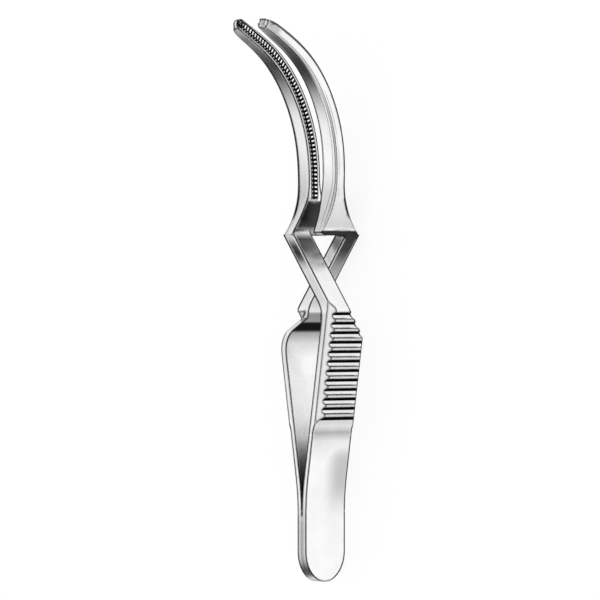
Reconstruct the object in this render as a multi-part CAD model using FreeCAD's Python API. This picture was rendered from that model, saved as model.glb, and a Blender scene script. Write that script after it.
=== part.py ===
import FreeCAD
import Part

import math
import os

# Cross-action bulldog clamp, lying on the edges of its two spring blades.
# X is the opening direction, +Y runs from the tail to the jaws, +Z is up across the blades.
# The origin is under the centre of the rounded tail, midway between the two leaves.
# All lengths are in millimetres and all angles in degrees.

V = FreeCAD.Vector

# Tail and leaves
blade_width = 13.0
leaf_thickness = 1.1
seam_gap = 0.1
seam_length = 8.0
leaf_splay = 8.1
leaf_curve_length = 8.0
tail_length = 8.5
leaf_end = 25.0
flex_reach = 7.0

# Finger grips
grip_thickness = 2.65
grip_start = 28.7
grip_run_out_radius = 4.5
bevel_inset = 1.66
bevel_edge_height = 1.3
over_groove_count = 11
under_groove_count = 9
groove_pitch = 2.04
groove_radius = 0.776
groove_depth = 0.5
first_groove = 1.37
over_shoulder_drop = 0.0
over_shoulder_run = 7.8
over_shoulder_radius = 5.0
over_shoulder_fillet = 1.5
under_shoulder_drop = 1.9
under_shoulder_run = 4.2
under_shoulder_radius = 6.0
under_shoulder_fillet = 0.4
grip_inner_bend_radius = 6.0
grip_outer_bend_radius = 1.5

# Crossing limbs
crossing_height = 62.0
limb_lean = 33.9
limb_thickness = 2.5
over_limb_width = 5.9
under_limb_width = 4.5
heel_inner_radius = 1.8

# Jaws, measured with the clamp closed
rest_opening = 1.6
bite_clearance = 0.05
heel_back_depth = 3.73
heel_dome = 0.75
heel_corner_radius = 0.5
heel_length = 8.2
heel_run_in = 1.2
heel_corner_rounding = 1.8
heel_floor_drop = 0.15
limb_flare = 2.6
limb_flare_inset = 0.1
relief_slope = 1.0 / 6.0
flare_length = 11.35
flare_power = 1.75
jaw_root_depth = 3.95
jaw_tip_depth = 3.2
nose_length = 3.0
nose_depth = 1.8
jaw_root_half_width = 1.78
jaw_tip_half_width = 1.15
jaw_back_rounding = 0.6
rounding_facets = 3
jaw_dome = 0.1
curve_start = 13.35
curve_radius = 31.0
curve_angle = 62.0
tip_straight = 7.5

# Teeth
tooth_pitch = 0.9
tooth_gap_top = 0.5
tooth_gap_floor = 0.2
tooth_height = 0.3
tooth_overhang = 0.8
tooth_end_margin = 0.4
channel_depth = 0.35
single_row_width = 0.8
twin_row_width = 0.35
row_clearance = 0.08
tooth_root = 0.1
row_setback = 0.1
single_row_notch = 0.45
twin_row_notch = 0.26

# How far cutters and blanks run past what they shape
overshoot = 1.0
clear_past_teeth = 0.2

# Long enough to cut right through the part
reach = 200.0

# The jaws mesh: one row of teeth goes between the twin rows, which go into the channel beside it.
tooth_start = heel_length - tooth_overhang
twin_groove_width = single_row_width + 2.0 * row_clearance
channel_width = twin_groove_width + 2.0 * (twin_row_width + row_clearance)


def turn(angle):
    """Sine and cosine of an angle in degrees."""
    return math.sin(math.radians(angle)), math.cos(math.radians(angle))


def meet(point_a, direction_a, point_b, direction_b):
    """Crossing point of two lines in the XY plane."""
    cross = direction_a.x * direction_b.y - direction_a.y * direction_b.x
    gap = point_b - point_a
    along = (gap.x * direction_b.y - gap.y * direction_b.x) / cross
    return point_a + direction_a * along


def corner_arc(before, corner, after, radius):
    """Start, middle and end of the arc that rounds a corner."""
    back = (before - corner).normalize()
    ahead = (after - corner).normalize()
    half = back.getAngle(ahead) / 2.0
    tangent = radius / math.tan(half)
    middle_reach = radius / math.sin(half) - radius
    bisector = (back + ahead).normalize()
    return corner + back * tangent, corner + bisector * middle_reach, corner + ahead * tangent


def face_from(start, steps):
    """Face bounded by lines and arcs: a step is an end point, or an arc's middle and end."""
    edges = []
    here = start
    for step in steps + [start]:
        if isinstance(step, tuple):
            edges.append(Part.Arc(here, step[0], step[1]).toShape())
            here = step[1]
        elif here.distanceToPoint(step) > 1e-7:
            edges.append(Part.LineSegment(here, step).toShape())
            here = step
    return Part.Face(Part.Wire(edges))


def prism(start, steps, direction):
    return face_from(start, steps).extrude(direction)


# The leaf's own axes: it leaves the seam on an arc and then runs straight at the splay angle.
splay_sin, splay_cos = turn(leaf_splay)
leaf_along = V(splay_sin, splay_cos, 0)
leaf_out = V(splay_cos, -splay_sin, 0)
leaf_curve_radius = leaf_curve_length / splay_sin
leaf_curve_centre = V(seam_gap / 2.0 + leaf_curve_radius, seam_length, 0)
leaf_origin = leaf_curve_centre + V(-splay_cos, splay_sin, 0) * leaf_curve_radius


def leaf_point(along, out):
    return leaf_origin + leaf_along * along + leaf_out * out


def along_leaf(y, out):
    """How far along the leaf a line at a given distance outside its inner face reaches y."""
    return (y - leaf_point(0, out).y) / splay_cos


def leaf_arc_point(angle, out):
    """Point on the curved root of the leaf, a given distance outside its inner face."""
    side, up = turn(angle)
    return leaf_curve_centre + V(-up, side, 0) * (leaf_curve_radius - out)


# The limb's two faces, either side of a centreline that crosses X = 0 at the crossing height.
lean_sin, lean_cos = turn(limb_lean)
limb_along = V(-lean_sin, lean_cos, 0)
limb_out = V(lean_cos, lean_sin, 0)
limb_inner_point = V(0, crossing_height, 0) - limb_out * (limb_thickness / 2.0)
limb_outer_point = V(0, crossing_height, 0) + limb_out * (limb_thickness / 2.0)
grip_inner_corner = meet(leaf_origin, leaf_along, limb_inner_point, limb_along)
grip_outer_corner = meet(leaf_point(0, grip_thickness), leaf_along, limb_outer_point, limb_along)

# The leaf bends about the middle of its thin root, so the whole arm swings about this line.
flex_angle = math.degrees(math.asin(flex_reach / leaf_curve_radius))
flex_centre = leaf_arc_point(flex_angle, leaf_thickness / 2.0)


def opened(item):
    """Carry a closed-jaw point, direction or solid to the slightly open rest position."""
    turned = item.copy() if hasattr(item, "ShapeType") else FreeCAD.Vector(item)
    if hasattr(item, "ShapeType"):
        turned.rotate(flex_centre, V(0, 0, 1), rest_opening)
        return turned
    spin = FreeCAD.Rotation(V(0, 0, 1), rest_opening)
    return flex_centre + spin.multVec(turned - flex_centre)


# The heel's back edge runs parallel to the closed bite and meets the limb at the upper bend.
back_low = opened(V(-heel_back_depth, 0, 0))
back_high = opened(V(-heel_back_depth, reach, 0))
heel_bend = meet(limb_inner_point, limb_along, back_low, back_high - back_low)
closed_spin = FreeCAD.Rotation(V(0, 0, 1), -rest_opening)
jaw_root = (flex_centre + closed_spin.multVec(heel_bend - flex_centre)).y
face_start = jaw_root + heel_length
relief_low = opened(V(-heel_length * relief_slope, jaw_root, 0))
relief_high = opened(V(0, face_start, 0))
heel_inner_corner = meet(limb_outer_point, limb_along, relief_low, relief_high - relief_low)
heel_floor = heel_bend.y - heel_floor_drop

curve_length = math.radians(curve_angle) * curve_radius
jaw_length = curve_start + curve_length + tip_straight
curve_centre = V(0, jaw_root + curve_start, blade_width / 2.0 + curve_radius)


def path_at(place):
    """Point on the jaw's centreline and its heading, a given distance from the upper bend."""
    if place <= curve_start:
        return V(0, jaw_root + place, blade_width / 2.0), 0.0
    heading = min(math.degrees((place - curve_start) / curve_radius), curve_angle)
    rise, ahead = turn(heading)
    point = curve_centre + V(0, rise, -ahead) * curve_radius
    beyond = max(place - curve_start - curve_length, 0.0)
    return point + V(0, ahead, rise) * beyond, heading


def path_axes(heading):
    """Directions along and across the jaw."""
    rise, ahead = turn(heading)
    return V(0, ahead, rise), V(0, -rise, ahead)


def jaw_half_width(place):
    flare = max(1.0 - place / flare_length, 0.0) ** flare_power
    taper = max((place - flare_length) / (jaw_length - flare_length), 0.0) ** 2
    slim = jaw_root_half_width - (jaw_root_half_width - jaw_tip_half_width) * taper
    return slim + (blade_width / 2.0 - jaw_root_half_width) * flare


def jaw_section_sizes(place):
    """Half width, depth to the back edges, corner radius and dome of the jaw's section."""
    half = jaw_half_width(place)
    blend = min(max(place / heel_length, 0.0), 1.0)
    taper = max((place - heel_length) / (jaw_length - heel_length), 0.0) ** 2
    heel_depth = heel_back_depth + heel_dome
    depth = heel_depth + (jaw_root_depth - heel_depth) * blend
    depth = depth - (jaw_root_depth - jaw_tip_depth) * taper
    into_nose = min(max(1.0 - (jaw_length - place) / nose_length, 0.0), 1.0)
    depth = nose_depth + (depth - nose_depth) * math.sqrt(1.0 - into_nose ** 2)
    corner = heel_corner_radius * (1.0 - blend) + jaw_back_rounding * half * blend
    dome = heel_dome * (1.0 - blend) + jaw_dome * blend
    return half, depth - dome, corner, dome


def section_points(place):
    """The jaw's section, as depth along X and width: bite edge, rounded corner and crown."""
    half, back, corner, dome = jaw_section_sizes(place)
    rounding = [V(overshoot, half, 0)]
    for step in range(rounding_facets + 1):
        inward, outward = turn(90.0 * step / rounding_facets)
        rounding.append(V(corner * (1.0 - inward) - back, half - corner * (1.0 - outward), 0))
    crown = V(-back - 2.0 * dome, 0, 0)
    return rounding, crown


def placed(place, point, sign=1.0):
    centre, heading = path_at(place)
    across = path_axes(heading)[1]
    return centre + V(point.x, 0, 0) + across * (point.y * sign)


def smooth_edge(points):
    curve = Part.BezierCurve()
    curve.setPoles(points)
    return curve.toShape()


def straight_edges(points):
    return [Part.LineSegment(near, far).toShape() for near, far in zip(points, points[1:])]


def jaw_section(place):
    """Closed section: flat on the bite side, rounded and slightly domed on the back."""
    rounding, crown = section_points(place)
    high = [placed(place, point) for point in rounding]
    low = [placed(place, point, -1.0) for point in rounding]
    back = smooth_edge([high[-1], placed(place, crown), low[-1]])
    return Part.Wire(straight_edges(high) + [back] + straight_edges(low[::-1] + high[:1]))


def jaw_nose():
    """Rounded tip: half of the end section turned through 180 degrees about X."""
    rounding, crown = section_points(jaw_length)
    high = [placed(jaw_length, point) for point in rounding]
    axis_point = path_at(jaw_length)[0]
    on_axis = axis_point + V(overshoot, 0, 0)
    crown_handle = (high[-1] + placed(jaw_length, crown)) * 0.5
    crest = axis_point + V((rounding[-1].x + crown.x) / 2.0, 0, 0)
    back = smooth_edge([high[-1], crown_handle, crest])
    edges = straight_edges([on_axis] + high) + [back] + straight_edges([crest, on_axis])
    return Part.Face(Part.Wire(edges)).revolve(axis_point, V(-1, 0, 0), 180.0)


def jaw_blank():
    """The jaw and its flared heel before the bite is cut, with the clamp closed."""
    heel_places = [heel_length * share for share in (0.0, 0.17, 0.36, 0.6, 0.8, 1.0)]
    curve_places = [curve_start + curve_length * share for share in (0.0, 0.2, 0.4, 0.6, 0.8, 1.0)]
    nose_places = [jaw_length - nose_length * share for share in (1.0, 0.65, 0.4, 0.2, 0.08, 0.0)]
    places = [-heel_run_in] + heel_places + [flare_length] + curve_places + nose_places
    body = Part.makeLoft([jaw_section(place) for place in places], True, False)
    return body.fuse(jaw_nose())


def band(near, far, start, end, floor, top):
    """Strip that follows the jaw's centreline between two offsets and two heights in X."""
    stations = [start, curve_start, curve_start + curve_length, end]
    sides = []
    for offset in (near, far):
        spots = [placed(place, V(floor, offset, 0)) for place in stations]
        middle = placed(curve_start + curve_length / 2.0, V(floor, offset, 0))
        sides.append((spots, middle))
    (first, first_middle), (second, second_middle) = sides
    steps = [
        first[1],
        (first_middle, first[2]),
        first[3],
        second[3],
        second[2],
        (second_middle, second[1]),
        second[0],
    ]
    return prism(first[0], steps, V(top - floor, 0, 0))


def tooth_notches(half_width, crest, depth):
    """Gaps between the teeth, square across the jaw at every pitch."""
    count = int((jaw_length + jaw_tip_half_width - tooth_end_margin - tooth_start) / tooth_pitch)
    slope = (tooth_gap_top - tooth_gap_floor) / 2.0 / depth
    wide = tooth_gap_top / 2.0 + slope * clear_past_teeth
    narrow = tooth_gap_floor / 2.0
    reach_across = half_width + clear_past_teeth
    notches = []
    for index in range(count):
        centre, heading = path_at(tooth_start + (index + 0.5) * tooth_pitch)
        along, across = path_axes(heading)
        base = centre - across * reach_across
        top = crest + clear_past_teeth
        corners = [(top, -wide), (crest - depth, -narrow), (crest - depth, narrow), (top, wide)]
        points = [base + V(height, 0, 0) + along * shift for height, shift in corners]
        notches.append(prism(points[0], points[1:], across * (2.0 * reach_across)))
    return notches


def with_single_row(jaw):
    """One row of teeth standing in a wide channel, open at the tip."""
    face = -bite_clearance / 2.0
    start = tooth_start
    end = jaw_length + jaw_tip_half_width
    channel = band(-channel_width / 2.0, channel_width / 2.0, start, end + overshoot,
                   face - channel_depth, face + overshoot)
    crest = face + tooth_height
    half = single_row_width / 2.0
    row = band(-half, half, start + row_setback, end - tooth_end_margin,
               face - channel_depth - tooth_root, crest)
    row = row.cut(tooth_notches(half, crest, single_row_notch))
    return jaw.cut(channel).fuse(row)


def with_twin_rows(jaw):
    """Two rows of teeth on either side of a narrow groove, which notches the tip."""
    face = -bite_clearance / 2.0
    start = tooth_start
    end = jaw_length + jaw_tip_half_width
    inner = twin_groove_width / 2.0
    outer = inner + twin_row_width
    groove = band(-inner, inner, start, end + overshoot, face - channel_depth, face + overshoot)
    crest = face + tooth_height
    rows = []
    for near, far in ((inner, outer), (-outer, -inner)):
        rows.append(band(near, far, start + row_setback, end - tooth_end_margin * 2.0,
                         face - tooth_root, crest))
    notches = tooth_notches(outer, crest, twin_row_notch)
    toothed = [row.cut(notches) for row in rows]
    return jaw.cut(groove).fuse(toothed)


def bite_side():
    """Everything on the far side of the bite face and of the heel's relief, when closed."""
    face = -bite_clearance / 2.0
    low = jaw_root - heel_length
    relief_foot = face - (face_start - low) * relief_slope
    points = [V(face, face_start, -reach), V(relief_foot, low, -reach), V(reach, low, -reach),
              V(reach, reach, -reach), V(face, reach, -reach)]
    return prism(points[0], points[1:], V(0, 0, 2.0 * reach))


def under_heel():
    """Everything below the heel: under its floor, and outside the plane of the limb's face."""
    top = jaw_root + heel_length
    on_limb_high = limb_inner_point + limb_along * ((top - crossing_height) / lean_cos)
    on_limb_low = limb_inner_point + limb_along * (
        (heel_floor - limb_inner_point.y) / lean_cos)
    points = [V(on_limb_high.x, on_limb_high.y, -reach), V(on_limb_low.x, heel_floor, -reach),
              V(reach, heel_floor, -reach), V(reach, 0, -reach), V(-reach, 0, -reach),
              V(-reach, on_limb_high.y, -reach)]
    return prism(points[0], points[1:], V(0, 0, 2.0 * reach))


def outside_width():
    """Slabs above and below the blade's width, beside the heel."""
    corner = V(-reach, jaw_root - heel_length, -reach)
    low = Part.makeBox(2.0 * reach, 2.0 * heel_length, reach, corner)
    high = low.translated(V(0, 0, reach + blade_width))
    return [low, high]


def bare_corner(limb_high):
    """Waste outside the rounded lower corner of the heel, on the side without a limb."""
    radius = heel_corner_rounding
    side = radius + overshoot
    block = Part.makeBox(2.0 * reach, side, side, V(-reach, heel_floor - overshoot, -overshoot))
    rod = Part.makeCylinder(radius, 2.0 * reach, V(-reach, heel_floor + radius, radius), V(1, 0, 0))
    waste = block.cut(rod)
    if limb_high:
        return waste
    return waste.mirror(V(0, 0, blade_width / 2.0), V(0, 0, 1))


def strap_profile():
    """Side profile of the tail, leaf, grip and limb, seen along Z and drawn below the part."""
    inner = seam_gap / 2.0
    low = -blade_width
    crest_start = along_leaf(grip_start, grip_thickness)
    rise = grip_thickness - leaf_thickness
    run = math.sqrt(grip_run_out_radius ** 2 - (grip_run_out_radius - rise) ** 2)
    half_run = math.asin(run / grip_run_out_radius) / 2.0
    run_out_middle = leaf_point(crest_start - run + grip_run_out_radius * math.sin(half_run),
                                leaf_thickness + grip_run_out_radius * (1 - math.cos(half_run)))
    run_out_end = leaf_point(crest_start - run, leaf_thickness)
    inner_bend = corner_arc(leaf_origin, grip_inner_corner, heel_bend, grip_inner_bend_radius)
    heel_bend_inner = corner_arc(relief_high, heel_inner_corner, grip_outer_corner,
                                 heel_inner_radius)
    outer_bend = corner_arc(heel_inner_corner, grip_outer_corner,
                            leaf_point(crest_start, grip_thickness), grip_outer_bend_radius)
    start = V(inner, low, 0)
    steps = [
        V(inner, seam_length, 0),
        (leaf_arc_point(leaf_splay / 2.0, 0), leaf_origin),
        inner_bend[0],
        (inner_bend[1], inner_bend[2]),
        heel_bend,
        heel_bend_inner[0],
        (heel_bend_inner[1], heel_bend_inner[2]),
        outer_bend[0],
        (outer_bend[1], outer_bend[2]),
        leaf_point(crest_start, grip_thickness),
        (run_out_middle, run_out_end),
        leaf_point(0, leaf_thickness),
        (leaf_arc_point(leaf_splay / 2.0, leaf_thickness), leaf_arc_point(0, leaf_thickness)),
        V(inner + leaf_thickness, low, 0),
    ]
    return prism(start, steps, V(0, 0, blade_width))


def shoulder_corners(limb_width, drop, run, radius, fillet):
    """The shoulder's outer and inner roundings, seen along X with the limb on the high side."""
    limb_edge = blade_width - limb_width
    head = grip_outer_corner.y - drop
    foot = V(-reach, head - run, 0)
    top = V(-reach, head, limb_edge)
    round_out = corner_arc(V(-reach, 0, 0), foot, top, radius)
    round_in = corner_arc(foot, top, V(-reach, heel_floor, limb_edge), fillet)
    return round_out, round_in


def strap_outline(shoulder):
    """Front outline of the same strap, seen along X: round tail, shoulder, narrow limb."""
    middle = blade_width / 2.0
    side = -reach
    round_out, round_in = shoulder
    limb_edge = round_in[2].z
    flare = []
    for place in (limb_flare, limb_flare * 0.5, 0.0):
        width = middle + jaw_half_width(place) - limb_flare_inset
        flare.append(V(side, heel_bend.y + place, width))
    steps = [
        V(side, round_out[0].y, 0),
        (round_out[1], round_out[2]),
        round_in[0],
        (round_in[1], round_in[2]),
        V(side, heel_bend.y + limb_flare, limb_edge),
    ] + flare + [
        V(side, heel_bend.y, blade_width),
        V(side, 0, blade_width),
        (V(side, -middle, middle), V(side, 0, 0)),
    ]
    return prism(V(side, 0, 0), steps, V(2.0 * reach, 0, 0))


def bevel_profile(along, low_side):
    """Waste above the sloping long edge of the grip, as a face across the leaf."""
    slope = (grip_thickness - bevel_edge_height) / bevel_inset
    high = grip_thickness + blade_width
    corners = [(bevel_inset + overshoot, grip_thickness + overshoot * slope),
               (-overshoot, bevel_edge_height - overshoot * slope),
               (-overshoot, high),
               (bevel_inset + overshoot, high)]
    points = []
    for inset, height in corners:
        level = inset if low_side else blade_width - inset
        points.append(leaf_point(along, height) + V(0, 0, level))
    return face_from(points[0], points[1:])


def grip_bevels():
    """Waste above both long edges of the grip."""
    first = along_leaf(leaf_end, 0)
    length = along_leaf(heel_bend.y, 0) - first
    return [bevel_profile(first, low_side).extrude(leaf_along * length)
            for low_side in (True, False)]


def shoulder_bevel(shoulder):
    """The low bevel carried on round the shoulder's outer rounding and up to the limb."""
    round_out, round_in = shoulder
    rise = round_out[2] - round_out[0]
    radius = (rise.y ** 2 + rise.z ** 2) / (2.0 * rise.z)
    swing = math.degrees(math.asin(rise.y / radius))
    along = along_leaf(round_out[0].y, grip_thickness)
    profile = bevel_profile(along, True)
    pivot = leaf_point(along, 0) + V(0, 0, radius)
    round_waste = profile.revolve(pivot, leaf_out, swing)
    profile.rotate(pivot, leaf_out, swing)
    side, ahead = turn(swing)
    length = round_out[2].distanceToPoint(round_in[0]) + overshoot
    return [round_waste, profile.extrude((leaf_along * ahead + V(0, 0, side)) * length)]


def grip_grooves(count):
    """Round-bottomed cross grooves along the grip."""
    crest_start = along_leaf(grip_start, grip_thickness)
    height = grip_thickness - groove_depth + groove_radius
    length = blade_width + 2.0 * overshoot
    grooves = []
    for index in range(count):
        centre = leaf_point(crest_start + first_groove + index * groove_pitch, height)
        grooves.append(Part.makeCylinder(groove_radius, length, centre - V(0, 0, overshoot)))
    return grooves


def strap(limb_high):
    """Tail, leaf, grip and limb in one forged piece."""
    if limb_high:
        shoulder = shoulder_corners(over_limb_width, over_shoulder_drop, over_shoulder_run,
                                    over_shoulder_radius, over_shoulder_fillet)
        waste = grip_bevels() + grip_grooves(over_groove_count)
    else:
        shoulder = shoulder_corners(under_limb_width, under_shoulder_drop, under_shoulder_run,
                                    under_shoulder_radius, under_shoulder_fillet)
        waste = grip_bevels() + shoulder_bevel(shoulder) + grip_grooves(under_groove_count)
    shaped = strap_profile().common(strap_outline(shoulder)).cut(waste)
    if limb_high:
        return shaped
    return shaped.mirror(V(0, 0, blade_width / 2.0), V(0, 0, 1))


def jaw(add_teeth, limb_high):
    """Jaw and heel at the rest opening, trimmed to meet the limb."""
    closed = add_teeth(jaw_blank().cut(bite_side()))
    waste = [under_heel(), bare_corner(limb_high)] + outside_width()
    return opened(closed).cut(waste)


def clamp_half(add_teeth, limb_high):
    return strap(limb_high).fuse(jaw(add_teeth, limb_high)).removeSplitter()


def split(half):
    """Divide a half into its tail, its bending leaf and its stiff arm."""
    tail_zone = Part.makeBox(2.0 * reach, reach, 2.0 * reach, V(-reach, tail_length - reach, -reach))
    corner = leaf_point(along_leaf(leaf_end, 0), 0)
    arm_zone = Part.makeBox(2.0 * reach, reach, 2.0 * reach, corner + V(-reach, 0, -reach))
    arm_zone.rotate(corner, V(0, 0, 1), -leaf_splay)
    tail = half.common(tail_zone)
    arm = half.common(arm_zone)
    leaf = half.cut([tail_zone, arm_zone])
    return tail, leaf, arm


def tail_seam():
    """Thin film of brazing metal that joins the two tails."""
    side = -seam_gap / 2.0
    middle = blade_width / 2.0
    steps = [
        V(side, seam_length, 0),
        V(side, seam_length, blade_width),
        V(side, 0, blade_width),
        (V(side, -middle, middle), V(side, 0, 0)),
    ]
    return prism(V(side, 0, 0), steps, V(seam_gap, 0, 0))


def save(shape, name):
    os.makedirs("parts", exist_ok=True)
    Part.makeCompound(shape.Solids).exportStep("parts/" + name + ".step")
    print(name, len(shape.Solids), "solid,", round(shape.Volume, 2), "cubic millimetres")


def build():
    for piece, shape in zip(("tail", "leaf", "arm"), split(clamp_half(with_single_row, True))):
        save(shape, "over_" + piece)
    for piece, shape in zip(("tail", "leaf", "arm"), split(clamp_half(with_twin_rows, False))):
        save(shape.mirror(V(0, 0, 0), V(1, 0, 0)), "under_" + piece)
    save(tail_seam(), "tail_weld")


build()
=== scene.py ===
import math

import bpy
from mathutils import Matrix, Vector


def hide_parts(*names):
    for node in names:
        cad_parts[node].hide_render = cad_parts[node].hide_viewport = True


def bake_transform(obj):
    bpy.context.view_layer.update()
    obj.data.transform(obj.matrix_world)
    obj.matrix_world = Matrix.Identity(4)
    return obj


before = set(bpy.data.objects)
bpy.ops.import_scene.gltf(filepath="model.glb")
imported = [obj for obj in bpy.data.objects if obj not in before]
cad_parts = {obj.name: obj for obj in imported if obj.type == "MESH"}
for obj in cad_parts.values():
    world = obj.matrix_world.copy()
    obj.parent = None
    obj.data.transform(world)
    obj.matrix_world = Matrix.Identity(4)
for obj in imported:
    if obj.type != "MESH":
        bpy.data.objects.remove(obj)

# Looks of a curved cross-action bulldog clamp: polished spring steel, with shade, reflections and
# highlights painted into its colour, on a white studio floor.
# X is the direction in which the clamp opens, +Y runs from the tail to the jaws, +Z is up.
# Lengths are in metres, and places in the materials and on the dark card are in mm.

MM = 0.001
bpy.context.view_layer.update()

# The side on which each half's blade lies, and towards which its jaw bites
SIDE = {"over": 1.0, "under": -1.0}

# Sizes of the spring leaf, as the solids have them
BLADE_WIDTH = 13.0 * MM
LEAF_THICKNESS = 1.1 * MM
SEAM_HALF = 0.05 * MM
SEAM_END = 8.0 * MM
LEAF_START = 8.5 * MM
LEAF_END = 25.0 * MM
LEAF_SPLAY = math.radians(8.1)
LEAF_BEND_LENGTH = 8.0 * MM
LEAF_BEND_END = SEAM_END + LEAF_BEND_LENGTH
LEAF_BEND_RADIUS = LEAF_BEND_LENGTH / math.sin(LEAF_SPLAY)
LEAF_END_OUT = (SEAM_HALF + LEAF_BEND_RADIUS * (1.0 - math.cos(LEAF_SPLAY))
                + (LEAF_END - LEAF_BEND_END) * math.tan(LEAF_SPLAY))

# Mesh of the leaf strips: steps along them, and corners of their cross-section
BEND_STEPS = 6
STRAIGHT_STEPS = 12
STRIP_CORNERS = 4
SHARP_ANGLE = math.radians(30.0)

# Centreline of the curved jaws: straight, then an arc about a centre
JAW_CURVE_CENTRE_Y = 81.0
JAW_CURVE_CENTRE_Z = 37.5
JAW_CURVE_RADIUS = 31.0
JAW_CURVE_START = 13.35
JAW_CURVE_ANGLE = math.radians(62.0)
TOOTH_START = 7.4
TOOTH_END = 53.4
TOOTH_PITCH = 0.9

# From here on, a pair holds the start and end of a soft step, unless its comment says otherwise.
# Four places hold where a band starts, is full, fades and ends.

# How far a face looks in a direction, from -1 for away to 1 for straight towards it
SQUARELY = (0.6, 0.9)
PARTLY = (0.25, 0.5)
BARELY = (0.1, 0.2)
NOT_AWAY = (-0.5, -0.4)
AWAY_END = (-0.5, -0.25)
TAILWARDS_END = (-0.1, 0.02)

# Cuts between tail, leaf and arm, measured along the blade, and how far from them edges get no painted
# shade lines or highlights
TAIL_CUT = LEAF_START / MM
ARM_CUT = (LEAF_END_OUT * math.sin(LEAF_SPLAY) + LEAF_END * math.cos(LEAF_SPLAY)) / MM
CUT_REACH = (0.9, 1.3)

# Where the leaf's bend gives way to its straight part, and the seam between the tails
LEAF_STRAIGHT = (LEAF_BEND_END / MM - 1.0, LEAF_BEND_END / MM)
SEAM_ACROSS = (0.3, 0.45)
SEAM_ALONG = (7.0, 8.0)

# Places along an arm
GROOVED_GRIP = (27.9, 28.1, 52.0, 54.0)
GRIP_END = (49.5, 54.0)
HEEL_UNDERSIDE = (66.4, 66.8, 68.2, 68.5)

# Places along a jaw's centreline
JAW_ROOT = (2.0, 5.0)
BELOW_TEETH = (6.9, 7.3)
TOOTH_ROWS = (TOOTH_START - 0.2, TOOTH_START, TOOTH_END, TOOTH_END + 0.4)
UNDER_TIP = (50.5, 52.5)

# Half widths of the toothed area and of the rows in it, and half a gap as a share of the pitch; the
# gaps and the strips beside the rows carry painted shade
TOOTHED_HALF_WIDTH = (0.9, 0.98)
TOOTH_ROWS_HALF_WIDTH = (0.62, 0.72)
TOOTH_GAP_HALF = (0.27, 0.36)

# Painted dark shade lines along the edges and the painted highlights beside them: their reach, and the
# cosine of the normal's turn
EDGE_SHADE_RADIUS = 0.8 * MM
EDGE_SHADE_TURN = (0.91, 0.996)
PAINTED_HIGHLIGHT_RADIUS = 1.4 * MM
PAINTED_HIGHLIGHT_TURN = (0.93, 0.995)
PAINTED_HIGHLIGHT_STRENGTH = 0.85

# Painted shade lines on contours: the faces that carry them, and how far the edge turns their normal
CONTOUR_TOP_FACE = (0.5, 0.7)
CONTOUR_SIDE_FACE = (0.4, 0.6)
CONTOUR_TURN = (0.03, 0.14)
# Painted shade on the jaw's back and rounded edges: the bands where it lies, and its levels
JAW_BACK_CONTOUR = (0.08, 0.2, 0.9, 0.98)
JAW_BACK_SHADE_LEVEL = 0.12
JAW_EDGE_CONTOUR = {"over": (-0.98, -0.9, -0.2, -0.08), "under": (0.45, 0.55, 0.8, 0.9)}
JAW_EDGE_SHADE_LEVEL = {"over": 0.12, "under": 0.9}

# Painted shade in recesses within a piece and in hollows between pieces: their reach, and how open they
# still are
RECESS_REACH = 1.2 * MM
RECESS_OPENNESS = (0.35, 0.9)
HOLLOW_REACH = 9.0 * MM
HOLLOW_OPENNESS = (0.0, 0.14)
HOLLOW_SHADE_LEVEL = 0.55
SHADING_SAMPLES = 8

# Painted shade and painted reflections along the clamp, as (distance from the tail, level as seen), and
# along a jaw's centreline
LEAF_PAINTED_SHADE = ((-7.0, 1.0), (19.0, 1.0), (23.6, 0.92), (25.4, 0.72), (25.9, 0.82), (26.8, 0.92),
              (28.4, 0.8), (29.0, 0.86), (29.4, 1.0), (54.0, 1.0))
STRIP_PAINTED_SHADE = ((-7.0, 0.68), (6.0, 0.72), (10.0, 0.96), (24.0, 1.0), (34.0, 0.96), (54.0, 0.86))
INSIDE_PAINTED_SHADE = ((8.0, 0.5), (13.0, 0.72), (19.0, 0.74), (22.0, 0.82), (25.0, 0.95), (30.0, 1.0),
                (41.0, 1.0), (44.5, 0.88), (46.6, 0.66), (47.2, 0.12), (48.6, 0.12), (49.0, 0.6),
                (54.0, 0.5))
BITE_SIDE_PAINTED_SHADE = ((54.0, 1.0), (58.0, 1.0), (61.0, 1.0), (62.3, 0.96), (63.6, 0.72), (64.8, 0.48),
                   (66.6, 0.33), (67.4, 0.7), (68.0, 0.97), (68.6, 0.8), (69.4, 0.3), (74.0, 0.22),
                   (76.0, 0.5))
FAR_SIDE_PAINTED_SHADE = ((54.0, 0.8), (58.6, 0.72), (61.0, 0.6), (62.6, 0.44), (64.2, 0.28), (68.2, 0.22),
                  (68.5, 1.0), (69.2, 0.86), (72.0, 0.9), (80.0, 1.0))
LIMB_TOP_PAINTED_SHADE = {
    "over": ((54.0, 0.85), (60.0, 0.85), (61.3, 0.7), (62.4, 0.4), (63.6, 0.22), (65.0, 0.3),
             (66.6, 0.75), (68.0, 0.9), (72.0, 0.85), (80.0, 1.0)),
    "under": ((54.0, 0.9), (67.0, 0.82), (68.0, 0.8), (72.0, 0.85), (80.0, 1.0)),
}
JAW_PAINTED_SHADE = {
    "over": ((-0.5, 1.0), (3.0, 0.86), (8.0, 0.78), (13.0, 0.86), (19.0, 0.97), (26.0, 0.97),
             (32.0, 0.88), (38.0, 0.74), (46.0, 0.62), (50.5, 0.66), (52.5, 0.9), (54.0, 1.0)),
    "under": ((-0.5, 1.0), (3.0, 0.8), (9.0, 0.86), (15.0, 1.0), (24.0, 0.97), (32.0, 0.85),
              (38.0, 0.6), (46.0, 0.42), (50.5, 0.5), (52.5, 0.7), (54.0, 0.7)),
}

# Soft grey patch of painted shade on the leaf's outer face, by its place along and across the blade
SHADE_PATCH_ALONG = (6.0, 15.0, 19.0, 24.0)
SHADE_PATCH_ACROSS = (2.5, 8.5)
SHADE_PATCH_LEVEL = 0.78

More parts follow.
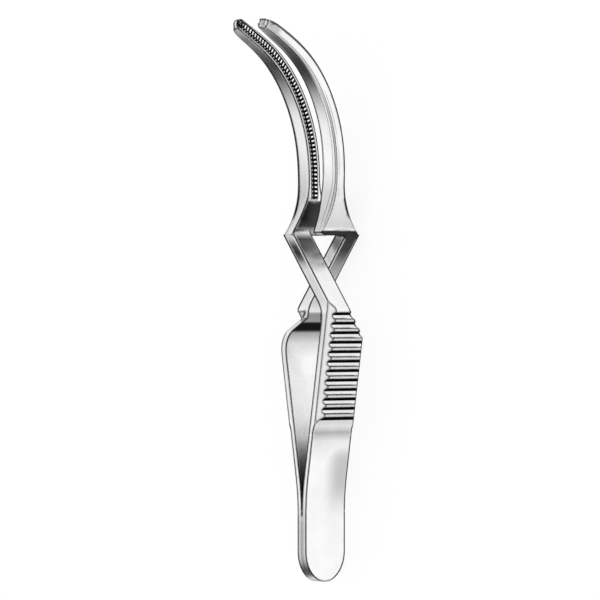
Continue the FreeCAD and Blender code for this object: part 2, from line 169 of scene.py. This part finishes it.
# Levels of the painted shade on the grooves' walls and on the under jaw's tip
GROOVE_SHADE_LEVEL = 0.03
UNDER_TIP_SHADE_LEVEL = 0.78

# Power that turns a level as seen into light
SEEN_TO_LIGHT = 2.2

# Colour of the painted shade lines and recess shade, and colour and grain of the polish
PAINTED_SHADE_COLOUR = 0.02
EDGE_TINT = 0.5
CLOUD_SCALE = 180.0
CLOUD_SPAN = (0.3, 0.7)
CLOUD_SHADE = 0.96
ROUGHNESS_SPREAD = 0.03
GRAIN_SCALE = (9000.0, 900.0, 9000.0)
GRAIN_DEPTH = 0.02 * MM
GRAIN_STRENGTH = 0.03

# White floor: its own colour, its glow where rays see it as background, and the camera's share of that
FLOOR_HALF_WIDTH = 2.0
FLOOR_LEVEL = -0.01 * MM
FLOOR_COLOUR = 0.9
FLOOR_GLOW = 1.04
CAMERA_SHARE = 0.8

# Dark card: rings of (radius, height, least glow) and turns of (degrees, least glow)
CARD_RINGS = ((28.0, 0.5, 1.0), (40.0, 0.5, 0.04), (90.0, 0.5, 0.04), (110.0, 30.0, 0.04),
              (125.0, 105.0, 1.0))
CARD_TURNS = ((178, 1.0), (184, 0.0), (200, 0.0), (220, 0.0), (240, 0.0), (250, 1.0))
CARD_STRETCH = 40.0
CARD_MIDDLE = 53.0

# The camera looks down on the clamp's right side, square to its length
CAMERA_ELEVATION = math.radians(50.0)
CAMERA_TARGET = Vector((-3.484, 53.61, 9.424)) * MM
CAMERA_DISTANCE = 1.5
FRAME_WIDTH = 128.12 * MM
SENSOR_WIDTH_MM = 36.0


class Nodes:
    """Shorthand for building a shader's node tree."""

    def __init__(self, tree):
        self.tree = tree
        tree.nodes.clear()

    def add(self, kind, settings=None, **sockets):
        made = self.tree.nodes.new(kind)
        for name, value in (settings or {}).items():
            setattr(made, name, value)
        for name, value in sockets.items():
            self.feed(made, name.replace("_", " "), value)
        return made

    def feed(self, node, socket, value):
        place = node.inputs[int(socket)] if socket.isdigit() else node.inputs[socket]
        if isinstance(value, bpy.types.NodeSocket):
            self.tree.links.new(value, place)
        else:
            place.default_value = value

    def math(self, operation, *values):
        made = self.add("ShaderNodeMath", {"operation": operation})
        for place, value in enumerate(values):
            self.feed(made, str(place), value)
        return made.outputs[0]

    def product(self, *factors):
        result = factors[0]
        for factor in factors[1:]:
            result = self.math("MULTIPLY", result, factor)
        return result

    def inverse(self, value):
        return self.math("SUBTRACT", 1.0, value)

    def vector_math(self, operation, first, second):
        made = self.add("ShaderNodeVectorMath", {"operation": operation})
        self.feed(made, "0", first)
        self.feed(made, "1", second)
        return made

    def dot(self, first, second):
        return self.vector_math("DOT_PRODUCT", first, second).outputs["Value"]

    def minus(self, first, second):
        return self.vector_math("SUBTRACT", first, second).outputs[0]

    def scaled(self, vector, factor):
        made = self.add("ShaderNodeVectorMath", {"operation": "SCALE"}, Vector=vector, Scale=factor)
        return made.outputs[0]

    def split(self, vector):
        return tuple(self.add("ShaderNodeSeparateXYZ", Vector=vector).outputs)

    def ramp(self, value, low, high, low_out=0.0, high_out=1.0, smooth=True):
        kind = "SMOOTHSTEP" if smooth else "LINEAR"
        made = self.add("ShaderNodeMapRange", {"interpolation_type": kind})
        for socket, number in (("Value", value), ("From Min", low), ("From Max", high),
                               ("To Min", low_out), ("To Max", high_out)):
            self.feed(made, socket, number)
        return made.outputs["Result"]

    def fall(self, value, start, end):
        return self.ramp(value, start, end, 1.0, 0.0)

    def band(self, value, start, full, fade, end):
        return self.math("MULTIPLY", self.ramp(value, start, full), self.fall(value, fade, end))

    def blend(self, factor, first, second):
        made = self.add("ShaderNodeMix", {"data_type": "RGBA"})
        self.feed(made, "0", factor)
        self.feed(made, "6", first)
        self.feed(made, "7", second)
        return made.outputs[2]

    def output(self, shader, kind="ShaderNodeOutputMaterial"):
        made = self.tree.nodes.new(kind)
        self.tree.links.new(shader, made.inputs["Surface"])


class Surface:
    """Where a shaded point lies on the clamp, and which way its face looks."""

    def __init__(self, n, half):
        texture = n.add("ShaderNodeTexCoord")
        self.place = texture.outputs["Object"]
        self.normal = n.add("ShaderNodeNewGeometry").outputs["Normal"]
        self.x, self.y, self.z = n.split(n.scaled(self.place, 1.0 / MM))
        self.face_x, self.face_y, self.face_z = n.split(texture.outputs["Normal"])
        self.half = half
        if half:
            self.face_out = n.math("MULTIPLY", self.face_x, SIDE[half])
            self.follow_jaw(n)
        else:
            self.face_out = n.math("MULTIPLY", self.face_x, n.math("SIGN", self.x))

    def follow_jaw(self, n):
        """Distance along the jaw's centreline, height above it, and how far the face looks up there."""
        across = n.math("SUBTRACT", self.y, JAW_CURVE_CENTRE_Y)
        down = n.math("SUBTRACT", JAW_CURVE_CENTRE_Z, self.z)
        angle = n.math("ARCTAN2", across, down)
        held = n.math("MINIMUM", n.math("MAXIMUM", angle, 0.0), JAW_CURVE_ANGLE)
        sine = n.math("SINE", held)
        cosine = n.math("COSINE", held)
        radius = n.math("ADD", n.math("MULTIPLY", across, sine), n.math("MULTIPLY", down, cosine))
        past = n.math("SUBTRACT", n.math("MULTIPLY", across, cosine), n.math("MULTIPLY", down, sine))
        bent = n.math("MULTIPLY_ADD", held, JAW_CURVE_RADIUS, JAW_CURVE_START)
        self.along = n.math("ADD", bent, past)
        self.height = n.math("SUBTRACT", JAW_CURVE_RADIUS, radius)
        self.face_in = n.math("SUBTRACT", n.math("MULTIPLY", self.face_z, cosine),
                              n.math("MULTIPLY", self.face_y, sine))


def grey(level):
    return (level, level, level, 1.0)


def near_cut(n, spot):
    """How much a point lies at a cut between two nodes, and the direction across that cut."""
    side = n.math("SIGN", spot.x)
    on_leaf = n.ramp(spot.y, *LEAF_STRAIGHT, smooth=False)
    lean = n.product(side, math.sin(LEAF_SPLAY), on_leaf)
    rise = n.math("MULTIPLY_ADD", on_leaf, math.cos(LEAF_SPLAY) - 1.0, 1.0)
    across = n.add("ShaderNodeCombineXYZ", X=lean, Y=rise).outputs[0]
    leaf_run = n.math("ADD", n.math("MULTIPLY", n.math("ABSOLUTE", spot.x), math.sin(LEAF_SPLAY)),
                      n.math("MULTIPLY", spot.y, math.cos(LEAF_SPLAY)))
    gap_low = n.math("ABSOLUTE", n.math("SUBTRACT", spot.y, TAIL_CUT))
    gap_high = n.math("ABSOLUTE", n.math("SUBTRACT", leaf_run, ARM_CUT))
    return n.fall(n.math("MINIMUM", gap_low, gap_high), *CUT_REACH), across


def rounded_normal(n, radius, cut, across):
    """Normal as if the edges were rounded, except at the cuts between nodes."""
    rounded = n.add("ShaderNodeBevel", {"samples": SHADING_SAMPLES}, Radius=radius).outputs["Normal"]
    along = n.math("MULTIPLY", n.dot(rounded, across), cut)
    flat = n.minus(rounded, n.scaled(across, along))
    unit = n.add("ShaderNodeVectorMath", {"operation": "NORMALIZE"})
    n.feed(unit, "0", flat)
    return unit.outputs[0]


def contour(n, rounded, normal):
    """Painted dark shade line on an edge strip's far side and along the lower edge of a side face."""
    turn_x, _, turn_z = n.split(n.minus(normal, rounded))
    facing_x, _, facing_z = n.split(normal)
    far = n.math("MULTIPLY", n.ramp(facing_z, *CONTOUR_TOP_FACE), n.ramp(turn_x, *CONTOUR_TURN))
    low = n.math("MULTIPLY", n.ramp(facing_x, *CONTOUR_SIDE_FACE), n.ramp(turn_z, *CONTOUR_TURN))
    return n.math("MAXIMUM", far, low)


def edge_masks(n, spot):
    """Painted dark shade line along each edge, and the painted highlight beside it."""
    cut, across = near_cut(n, spot)
    fine = rounded_normal(n, EDGE_SHADE_RADIUS, cut, across)
    wide = rounded_normal(n, PAINTED_HIGHLIGHT_RADIUS, cut, across)
    line = n.fall(n.dot(fine, spot.normal), *EDGE_SHADE_TURN)
    rim = n.fall(n.dot(wide, spot.normal), *PAINTED_HIGHLIGHT_TURN)
    return n.math("MAXIMUM", line, contour(n, fine, spot.normal)), rim


def openness(n, spot, reach, own_piece_only):
    """1 where nothing stands within reach of a face, down to 0 deep in a recess."""
    settings = {"samples": SHADING_SAMPLES, "only_local": own_piece_only}
    made = n.add("ShaderNodeAmbientOcclusion", settings, Distance=reach, Normal=spot.normal)
    return made.outputs["AO"]


def profile(n, value, stops):
    """Tone that runs through the given (place, level) stops."""
    low = stops[0][0]
    high = stops[-1][0]
    made = n.add("ShaderNodeValToRGB")
    places = made.color_ramp.elements
    places[0].color = grey(stops[0][1])
    places[1].color = grey(stops[-1][1])
    for where, level in stops[1:-1]:
        places.new((where - low) / (high - low)).color = grey(level)
    n.feed(made, "Fac", n.ramp(value, low, high, smooth=False))
    return made.outputs["Color"]


def toned(n, mask, level):
    """1 outside the mask and the level inside it."""
    return n.inverse(n.math("MULTIPLY", mask, n.inverse(level)))


def darkest(n, painted_shade_levels):
    result = painted_shade_levels[0]
    for tone in painted_shade_levels[1:]:
        result = n.math("MINIMUM", result, tone)
    return result


def leaf_tones(n, spot, face_out, face_z):
    """Painted shade and painted reflections on tail, leaf and grip: their edge strips, the inside of
    the spring, the outer face, and a painted grey patch on it.
    """
    outer = n.ramp(face_out, *SQUARELY)
    inner = n.ramp(n.math("MULTIPLY", face_out, -1.0), *SQUARELY)
    patch = n.product(outer, n.band(spot.y, *SHADE_PATCH_ALONG), n.fall(spot.z, *SHADE_PATCH_ACROSS))
    return [
        toned(n, n.ramp(face_z, *SQUARELY), profile(n, spot.y, STRIP_PAINTED_SHADE)),
        toned(n, inner, profile(n, spot.y, INSIDE_PAINTED_SHADE)),
        toned(n, outer, profile(n, spot.y, LEAF_PAINTED_SHADE)),
        toned(n, patch, SHADE_PATCH_LEVEL),
    ]


def groove_tone(n, spot):
    """Painted black shade on the grooves' walls that look towards the tail."""
    face_along = n.math("ADD", n.math("MULTIPLY", spot.face_out, math.sin(LEAF_SPLAY)),
                        n.math("MULTIPLY", spot.face_y, math.cos(LEAF_SPLAY)))
    wall = n.math("MULTIPLY", n.fall(face_along, *TAILWARDS_END), n.ramp(spot.face_out, *BARELY))
    return toned(n, n.math("MULTIPLY", n.band(spot.y, *GROOVED_GRIP), wall), GROOVE_SHADE_LEVEL)


def limb_tones(n, spot, limb):
    """Painted shade and painted reflections on limb and heel: the side towards the other arm's jaw, the
    far side, and the top.
    """
    bite_side = n.ramp(spot.face_out, *PARTLY)
    far_side = n.ramp(n.math("MULTIPLY", spot.face_out, -1.0), *PARTLY)
    top = n.ramp(spot.face_z, *SQUARELY)
    below_teeth = n.fall(spot.along, *BELOW_TEETH)
    return [
        toned(n, n.product(bite_side, limb, below_teeth), profile(n, spot.y, BITE_SIDE_PAINTED_SHADE)),
        toned(n, n.product(far_side, limb), profile(n, spot.y, FAR_SIDE_PAINTED_SHADE)),
        toned(n, n.product(top, limb), profile(n, spot.y, LIMB_TOP_PAINTED_SHADE[spot.half])),
    ]


def jaw_tones(n, spot):
    """Painted shade and painted reflections on a jaw: its hollow side, painted shade lines on its
    rounded edges, and the under jaw's darker tip.
    """
    jaw = n.ramp(spot.along, *JAW_ROOT)
    back = n.math("MULTIPLY", spot.face_in, -1.0)
    edge = n.band(spot.face_x, *JAW_EDGE_CONTOUR[spot.half])
    painted_shade_levels = [
        toned(n, n.ramp(spot.face_in, *SQUARELY), profile(n, spot.along, JAW_PAINTED_SHADE[spot.half])),
        toned(n, n.math("MULTIPLY", jaw, n.band(back, *JAW_BACK_CONTOUR)), JAW_BACK_SHADE_LEVEL),
        toned(n, n.math("MULTIPLY", jaw, edge), JAW_EDGE_SHADE_LEVEL[spot.half]),
    ]
    if spot.half == "under":
        painted_shade_levels.append(toned(n, n.ramp(spot.along, *UNDER_TIP), UNDER_TIP_SHADE_LEVEL))
    return painted_shade_levels


def arm_tones(n, spot):
    """Painted shade and painted reflections on an arm: its grip, which goes on from the leaf, then its
    limb, heel and jaw.
    """
    grip = n.fall(spot.y, *GRIP_END)
    painted_shade_levels = leaf_tones(n, spot, n.math("MULTIPLY", spot.face_out, grip),
                       n.math("MULTIPLY", spot.face_z, grip))
    painted_shade_levels.append(groove_tone(n, spot))
    return painted_shade_levels + limb_tones(n, spot, n.inverse(grip)) + jaw_tones(n, spot)


def toothed_area(n, spot):
    """1 on the rows of teeth, which carry painted shade of their own and no painted edge lines."""
    within = n.fall(n.math("ABSOLUTE", spot.height), *TOOTHED_HALF_WIDTH)
    bite = n.ramp(spot.face_out, *NOT_AWAY)
    return n.product(within, bite, n.band(spot.along, *TOOTH_ROWS))


def tooth_marks(n, spot):
    """Painted shade in the gaps between the teeth and painted dark lines along both sides of the rows.
    """
    pitches = n.math("DIVIDE", n.math("SUBTRACT", spot.along, TOOTH_START), TOOTH_PITCH)
    from_gap = n.math("ABSOLUTE", n.math("SUBTRACT", n.math("FRACT", pitches), 0.5))
    beside = n.ramp(n.math("ABSOLUTE", spot.height), *TOOTH_ROWS_HALF_WIDTH)
    return n.math("MAXIMUM", n.fall(from_gap, *TOOTH_GAP_HALF), beside)


def rimless_area(n, spot):
    """1 in the grooved grip and under the heel, which get no painted highlight and stay dark up to
    their edges.
    """
    grooved = n.band(spot.y, *GROOVED_GRIP)
    under_heel = n.math("MULTIPLY", n.band(spot.y, *HEEL_UNDERSIDE), n.fall(spot.face_out, *AWAY_END))
    return n.math("MAXIMUM", grooved, under_heel)


def steel(name, base, roughness, half=None):
    """Polished steel: fine grain, soft cloudiness, painted dark shade lines along the edges with
    painted highlights beside them, and painted shade in recesses, in hollows and by place.
    """
    material = bpy.data.materials.new(name)
    material.use_nodes = True
    n = Nodes(material.node_tree)
    spot = Surface(n, half)
    line, rim = edge_masks(n, spot)
    # Painted shade in small recesses within each piece, from ambient occlusion
    recess_shade = n.fall(openness(n, spot, RECESS_REACH, True), *RECESS_OPENNESS)
    if half:
        painted_shade_levels = arm_tones(n, spot)
        toothed = toothed_area(n, spot)
        plain = n.inverse(toothed)
        recess_shade = n.math("ADD", n.math("MULTIPLY", recess_shade, plain),
                      n.math("MULTIPLY", tooth_marks(n, spot), toothed))
        line = n.math("MULTIPLY", line, plain)
        rim = n.math("MULTIPLY", rim, n.inverse(rimless_area(n, spot)))
    else:
        painted_shade_levels = leaf_tones(n, spot, spot.face_out, spot.face_z)
    # Painted shade in the hollows between pieces
    painted_shade_levels.append(n.ramp(openness(n, spot, HOLLOW_REACH, False), *HOLLOW_OPENNESS, HOLLOW_SHADE_LEVEL, 1.0))

    # No painted shade lines, recess shade or highlights along the seam between the tails
    seam = n.math("MULTIPLY", n.fall(n.math("ABSOLUTE", spot.x), *SEAM_ACROSS),
                  n.fall(spot.y, *SEAM_ALONG))
    off_seam = n.inverse(seam)
    # dark holds the painted shade lines and recess shade; bright holds the painted highlights
    dark = n.math("MULTIPLY", n.math("MAXIMUM", line, recess_shade), off_seam)
    bright = n.product(rim, off_seam, PAINTED_HIGHLIGHT_STRENGTH)

    cloud = n.add("ShaderNodeTexNoise", Vector=spot.place, Scale=CLOUD_SCALE, Detail=2.0).outputs["Fac"]
    cloudy = n.ramp(cloud, *CLOUD_SPAN, base, base * CLOUD_SHADE)
    shaded = n.math("MULTIPLY", n.math("POWER", darkest(n, painted_shade_levels), SEEN_TO_LIGHT), cloudy)
    colour = n.blend(dark, n.blend(bright, shaded, grey(1.0)), grey(PAINTED_SHADE_COLOUR))

    stretched = n.add("ShaderNodeMapping", Vector=spot.place, Scale=GRAIN_SCALE).outputs[0]
    grain = n.add("ShaderNodeTexNoise", Vector=stretched, Scale=1.0, Detail=3.0).outputs["Fac"]
    bump = n.add("ShaderNodeBump", Strength=GRAIN_STRENGTH, Distance=GRAIN_DEPTH, Height=grain)
    polish = n.ramp(cloud, *CLOUD_SPAN, roughness - ROUGHNESS_SPREAD, roughness + ROUGHNESS_SPREAD)
    shader = n.add("ShaderNodeBsdfPrincipled", Base_Color=colour, Metallic=1.0, Roughness=polish,
                   Specular_Tint=grey(EDGE_TINT), Normal=bump.outputs["Normal"])
    n.output(shader.outputs[0])
    return material


def add_object(name, points, faces, material):
    mesh = bpy.data.meshes.new(name)
    mesh.from_pydata(points, [], faces)
    mesh.materials.append(material)
    made = bpy.data.objects.new(name, mesh)
    bpy.context.scene.collection.objects.link(made)
    return made


def leaf_rows():
    """Points of the leaf's inner and outer face along its bend and its straight part."""
    centre = Vector((SEAM_HALF + LEAF_BEND_RADIUS, SEAM_END, 0))
    along = Vector((math.sin(LEAF_SPLAY), math.cos(LEAF_SPLAY), 0))
    out = Vector((math.cos(LEAF_SPLAY), -math.sin(LEAF_SPLAY), 0))
    bend_end = centre - out * LEAF_BEND_RADIUS
    straight = (LEAF_END - bend_end.y) / along.y

    def bend_point(share, depth):
        radius = LEAF_BEND_RADIUS - depth
        start = math.asin((LEAF_START - SEAM_END) / radius)
        angle = start + (LEAF_SPLAY - start) * share
        return centre + Vector((-math.cos(angle), math.sin(angle), 0)) * radius

    def straight_point(share, depth):
        return bend_end + along * (straight * share) + out * depth

    rows = []
    for depth in (0.0, LEAF_THICKNESS):
        row = [bend_point(step / BEND_STEPS, depth) for step in range(BEND_STEPS)]
        row += [straight_point(step / STRAIGHT_STEPS, depth) for step in range(STRAIGHT_STEPS + 1)]
        rows.append(row)
    return rows


def leaf_strip(name, side, material):
    """Thin spring leaf between tail and grip, meshed in short steps."""
    points = []
    for inner, outer in zip(*leaf_rows()):
        for point, level in ((inner, 0), (outer, 0), (outer, BLADE_WIDTH), (inner, BLADE_WIDTH)):
            points.append((point.x * side, point.y, level))
    faces = []
    last = len(points) - STRIP_CORNERS
    for low in range(0, last, STRIP_CORNERS):
        high = low + STRIP_CORNERS
        for corner in range(STRIP_CORNERS):
            after = (corner + 1) % STRIP_CORNERS
            faces.append((low + corner, low + after, high + after, high + corner))
    faces += [(3, 2, 1, 0), (last, last + 1, last + 2, last + 3)]
    if side > 0:
        faces = [face[::-1] for face in faces]
    strip = add_object(name, points, faces, material)
    strip.data.shade_smooth()
    strip.data.set_sharp_from_angle(angle=SHARP_ANGLE)
    return strip


def dress_nodes(polished, satin, braze):
    for name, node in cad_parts.items():
        half, part = name.split("_")
        painted_shade_materials = {"tail": satin, "leaf": satin, "arm": polished.get(half), "weld": braze}
        node.data.materials[0] = painted_shade_materials[part]


def add_leaves(satin):
    for name, side in SIDE.items():
        strip = leaf_strip(name + "_leaf_strip", side, satin)
        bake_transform(strip)
        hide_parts(name + "_leaf")


def add_studio_piece(name, points, faces, material):
    made = add_object(name, points, faces, material)
    return made


def background_share(n):
    """How much rays see the plain background: all of it in reflections, less for the camera."""
    path = n.add("ShaderNodeLightPath")
    seen = n.math("MULTIPLY", path.outputs["Is Camera Ray"], CAMERA_SHARE)
    seen = n.math("MAXIMUM", seen, path.outputs["Is Glossy Ray"])
    return n.math("MAXIMUM", seen, path.outputs["Is Transmission Ray"])


def add_floor():
    """White floor that keeps a soft shadow of the clamp."""
    material = bpy.data.materials.new("white_floor")
    material.use_nodes = True
    n = Nodes(material.node_tree)
    matt = n.add("ShaderNodeBsdfDiffuse", Color=grey(FLOOR_COLOUR)).outputs[0]
    glow = n.add("ShaderNodeEmission", Color=grey(1.0), Strength=FLOOR_GLOW).outputs[0]
    mixed = n.add("ShaderNodeMixShader")
    n.feed(mixed, "0", background_share(n))
    n.feed(mixed, "1", matt)
    n.feed(mixed, "2", glow)
    n.output(mixed.outputs[0])
    corners = ((-1, -1), (1, -1), (1, 1), (-1, 1))
    points = [(x * FLOOR_HALF_WIDTH, y * FLOOR_HALF_WIDTH, FLOOR_LEVEL) for x, y in corners]
    add_studio_piece("floor", points, [(0, 1, 2, 3)], material)


def add_dark_card():
    """Dark studio card beside the jaws, fading at its edges, seen only in reflections."""
    material = bpy.data.materials.new("dark_card")
    material.use_nodes = True
    n = Nodes(material.node_tree)
    glow = n.add("ShaderNodeAttribute", {"attribute_name": "glow"}).outputs["Fac"]
    n.output(n.add("ShaderNodeEmission", Color=grey(1.0), Strength=glow).outputs[0])
    points = []
    glows = []
    for degrees, turn_glow in CARD_TURNS:
        angle = math.radians(degrees)
        for radius, height, ring_glow in CARD_RINGS:
            x = radius * math.cos(angle)
            y = (radius + CARD_STRETCH) * math.sin(angle) + CARD_MIDDLE
            points.append(Vector((x, y, height)) * MM)
            glows.append(max(ring_glow, turn_glow))
    faces = []
    count = len(CARD_RINGS)
    for turn in range(len(CARD_TURNS) - 1):
        for ring in range(count - 1):
            low = turn * count + ring
            faces.append((low, low + count, low + count + 1, low + 1))
    card = add_studio_piece("dark_cards", points, faces, material)
    card.data.attributes.new("glow", "FLOAT", "POINT").data.foreach_set("value", glows)
    card.visible_camera = False
    card.visible_diffuse = False
    card.visible_shadow = False
    card.visible_transmission = False


def add_world():
    world = bpy.data.worlds.new("studio")
    bpy.context.scene.world = world
    world.use_nodes = True
    n = Nodes(world.node_tree)
    sky = n.add("ShaderNodeBackground", Color=grey(1.0), Strength=1.0).outputs[0]
    n.output(sky, "ShaderNodeOutputWorld")


def add_camera():
    back = Vector((math.cos(CAMERA_ELEVATION), 0, math.sin(CAMERA_ELEVATION)))
    right = Vector((0, 1, 0)).cross(back)
    data = bpy.data.cameras.new("camera")
    data.sensor_width = SENSOR_WIDTH_MM
    data.lens = SENSOR_WIDTH_MM * CAMERA_DISTANCE / FRAME_WIDTH
    camera = bpy.data.objects.new("camera", data)
    bpy.context.scene.collection.objects.link(camera)
    place = CAMERA_TARGET + back * CAMERA_DISTANCE
    camera.matrix_world = Matrix((
        (right.x, 0, back.x, place.x),
        (right.y, 1, back.y, place.y),
        (right.z, 0, back.z, place.z),
        (0, 0, 0, 1),
    ))
    bpy.context.scene.camera = camera


def main():
    bpy.context.scene.view_settings.view_transform = "Standard"
    # Each steel material carries painted shade, painted reflections and painted highlights in its
    # colour.
    polished = {half: steel(half + "_polished_steel_painted_shade", base=0.97, roughness=0.27, half=half)
                for half in SIDE}
    satin = steel("satin_steel_painted_shade", base=0.99, roughness=0.24)
    braze = steel("braze_painted_shade", base=0.5, roughness=0.35)
    dress_nodes(polished, satin, braze)
    add_leaves(satin)
    add_world()
    add_floor()
    add_dark_card()
    add_camera()


main()
